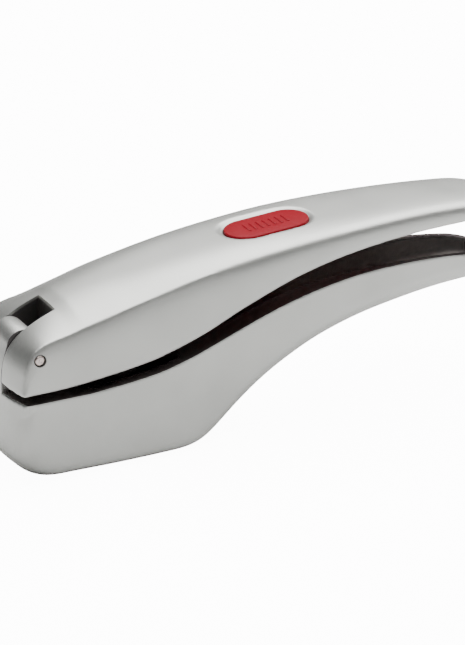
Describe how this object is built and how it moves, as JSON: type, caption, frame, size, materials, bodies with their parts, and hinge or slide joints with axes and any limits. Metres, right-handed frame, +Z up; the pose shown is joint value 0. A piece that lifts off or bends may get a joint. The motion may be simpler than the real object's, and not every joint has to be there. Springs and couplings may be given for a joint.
{
  "type": "garlic press",
  "caption": "Cast hand-squeezed garlic press: two handles on one hinge, a hanging press foot over a perforated plate, and a red cleaning tool stored in the upper handle.",
  "frame": {"origin": "centre of the bounding box, on the flat base of the head", "axes": "+X from the hinge to the tips of the handles, +Z up from the base, Y across the press; symmetric about the plane y = 0"},
  "size_m": [0.1822, 0.041, 0.0652],
  "materials": {
    "cast_satin": "fine satin grey, softly blasted",
    "cast_bare": "plain cast, slightly rough",
    "sieve_steel": "pressed steel, lightly brushed",
    "pin_steel": "turned steel, warm grey",
    "red_plastic": "moulded red plastic, finely textured"
  },
  "bodies": {
    "base": {"lower_handle": "cast_satin", "sieve_plate": "sieve_steel"},
    "lever": {"upper_handle": "cast_satin", "hinge_pin": "pin_steel", "plunger_pin": "pin_steel"},
    "press_foot": {"plunger": "cast_bare"},
    "cleaning_tool": {"cleaner": "red_plastic"}
  },
  "joints": [
    {"name": "handle_hinge", "type": "hinge", "parent": "base", "child": "lever", "pos_m": [-0.0819, 0, 0.041], "axis": [0, -1, 0], "range_deg": [0, 55]},
    {"name": "plunger_hinge", "type": "hinge", "parent": "lever", "child": "press_foot", "pos_m": [-0.0509, 0, 0.031], "axis": [0, -1, 0], "range_deg": [-55, 0]},
    {"name": "cleaner_slide", "type": "slide", "parent": "lever", "child": "cleaning_tool", "axis": [0, 0, -1], "range_m": [0, 0.008]}
  ],
  "couplings": [
    {"joint": "plunger_hinge", "follows": "handle_hinge", "ratio": -1}
  ]
}
